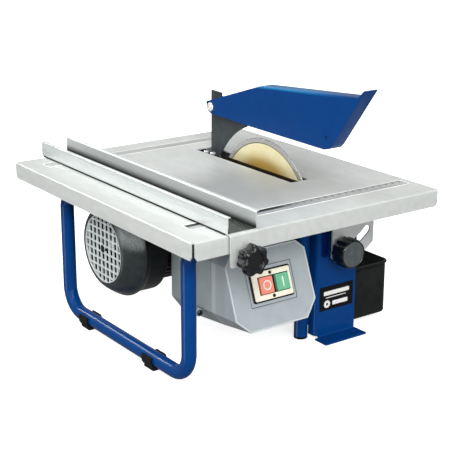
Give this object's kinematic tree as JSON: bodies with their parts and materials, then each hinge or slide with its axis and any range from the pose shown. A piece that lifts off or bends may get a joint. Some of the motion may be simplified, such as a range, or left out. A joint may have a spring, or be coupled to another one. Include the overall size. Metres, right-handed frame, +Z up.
{
  "type": "tile cutter",
  "caption": "Compact electric wet tile cutter with a tilting steel table, sliding fence, diamond blade, hinged blade guard, side motor, water tank and tube frame.",
  "frame": {"origin": "centre of the bounding box on the floor", "axes": "+Z up, -Y towards the operator, +X to the right, towards the blade and the tank"},
  "size_m": [0.335, 0.419, 0.2933],
  "materials": {
    "blue_paint": "gloss blue powder coat",
    "table_steel": "streaky galvanised or stainless sheet",
    "zinc_steel": "zinc-plated steel",
    "dark_steel": "blackened steel",
    "black_plastic": "moulded black plastic",
    "grey_plastic": "moulded light grey plastic",
    "black_rubber": "black rubber",
    "cream_plastic": "cream switch plate",
    "red_plastic": "red push button",
    "green_plastic": "green push button",
    "blade_gold": "gold-lacquered blade core with grey diamond rim",
    "copper_winding": "lacquered copper and lamination"
  },
  "bodies": {
    "base": {"bearing_blade_side": "zinc_steel", "bearing_fan_side": "zinc_steel", "cable_gland": "black_plastic", "column_front": "blue_paint", "column_rear": "blue_paint", "end_shield_blade_side": "black_plastic", "end_shield_fan_side": "zinc_steel", "fan_cover": "black_plastic", "fan_grille": "black_plastic", "foot_saddle_front": "black_rubber", "foot_saddle_rear": "black_rubber", "frame_tube": "blue_paint", "knife_bolt_1": "zinc_steel", "knife_bolt_2": "zinc_steel", "knife_bracket": "dark_steel", "motor_bolt_1": "zinc_steel", "motor_bolt_2": "zinc_steel", "motor_bolt_3": "zinc_steel", "motor_bolt_4": "zinc_steel", "motor_can": "black_plastic", "motor_plate": "blue_paint", "post_foot_front": "black_rubber", "post_foot_rear": "black_rubber", "riving_knife": "dark_steel", "run_capacitor": "zinc_steel", "splash_shield": "black_plastic", "stator": "copper_winding", "switch_bezel": "cream_plastic", "switch_body": "black_plastic", "switch_box_front": "grey_plastic", "switch_box_rear": "grey_plastic", "tilt_pivot_front": "zinc_steel", "tilt_pivot_rear": "zinc_steel", "tilt_stud_front": "zinc_steel", "tilt_stud_rear": "zinc_steel", "water_tank": "black_plastic"},
    "table": {"table_top": "table_steel", "scale_strip_front": "zinc_steel", "scale_strip_rear": "zinc_steel", "tilt_plate_front": "zinc_steel", "tilt_plate_rear": "zinc_steel"},
    "fence": {"fence": "table_steel", "fence_clamp": "zinc_steel"},
    "fence_knob": {"fence_knob": "black_plastic"},
    "tilt_knob_front": {"tilt_knob_front": "black_plastic"},
    "tilt_knob_rear": {"tilt_knob_rear": "black_plastic"},
    "guard": {"guard": "blue_paint", "guard_bolt": "zinc_steel"},
    "guard_knob": {"guard_knob": "black_plastic"},
    "spindle": {"motor_shaft": "zinc_steel", "rotor_core": "dark_steel", "cooling_fan": "black_plastic", "inner_flange": "zinc_steel", "diamond_blade": "blade_gold", "outer_flange": "zinc_steel", "arbor_nut": "zinc_steel"},
    "button_off": {"button_off": "red_plastic"},
    "button_on": {"button_on": "green_plastic"}
  },
  "joints": [
    {"name": "table_tilt", "type": "hinge", "parent": "base", "child": "table", "pos_m": [0.068, 0.009, 0.162], "axis": [0, 1, 0], "range_deg": [0, 45]},
    {"name": "fence_slide", "type": "slide", "parent": "table", "child": "fence", "axis": [1, 0, 0], "range_m": [-0.036, 0.095]},
    {"name": "fence_knob_turn", "type": "hinge", "parent": "fence", "child": "fence_knob", "pos_m": [-0.108, -0.2, 0.149], "axis": [0, 1, 0], "continuous": true},
    {"name": "tilt_knob_front_turn", "type": "hinge", "parent": "base", "child": "tilt_knob_front", "pos_m": [0.068, -0.143, 0.106], "axis": [0, 1, 0], "continuous": true},
    {"name": "tilt_knob_rear_turn", "type": "hinge", "parent": "base", "child": "tilt_knob_rear", "pos_m": [0.068, 0.161, 0.106], "axis": [0, 1, 0], "continuous": true},
    {"name": "guard_swing", "type": "hinge", "parent": "base", "child": "guard", "pos_m": [0.068, 0.1085, 0.2292], "axis": [-1, 0, 0], "range_deg": [-7, 60]},
    {"name": "guard_knob_turn", "type": "hinge", "parent": "guard", "child": "guard_knob", "pos_m": [0.084, 0.1085, 0.2292], "axis": [1, 0, 0], "continuous": true},
    {"name": "spindle_spin", "type": "hinge", "parent": "base", "child": "spindle", "pos_m": [0.068, 0.009, 0.116], "axis": [1, 0, 0], "continuous": true},
    {"name": "button_off_press", "type": "slide", "parent": "base", "child": "button_off", "axis": [0, 0.9367, -0.3502], "range_m": [0, 0.0025], "stiffness_N_per_m": 400, "springref_m": -0.001},
    {"name": "button_on_press", "type": "slide", "parent": "base", "child": "button_on", "axis": [0, 0.9367, -0.3502], "range_m": [0, 0.0025], "stiffness_N_per_m": 400, "springref_m": -0.001}
  ]
}
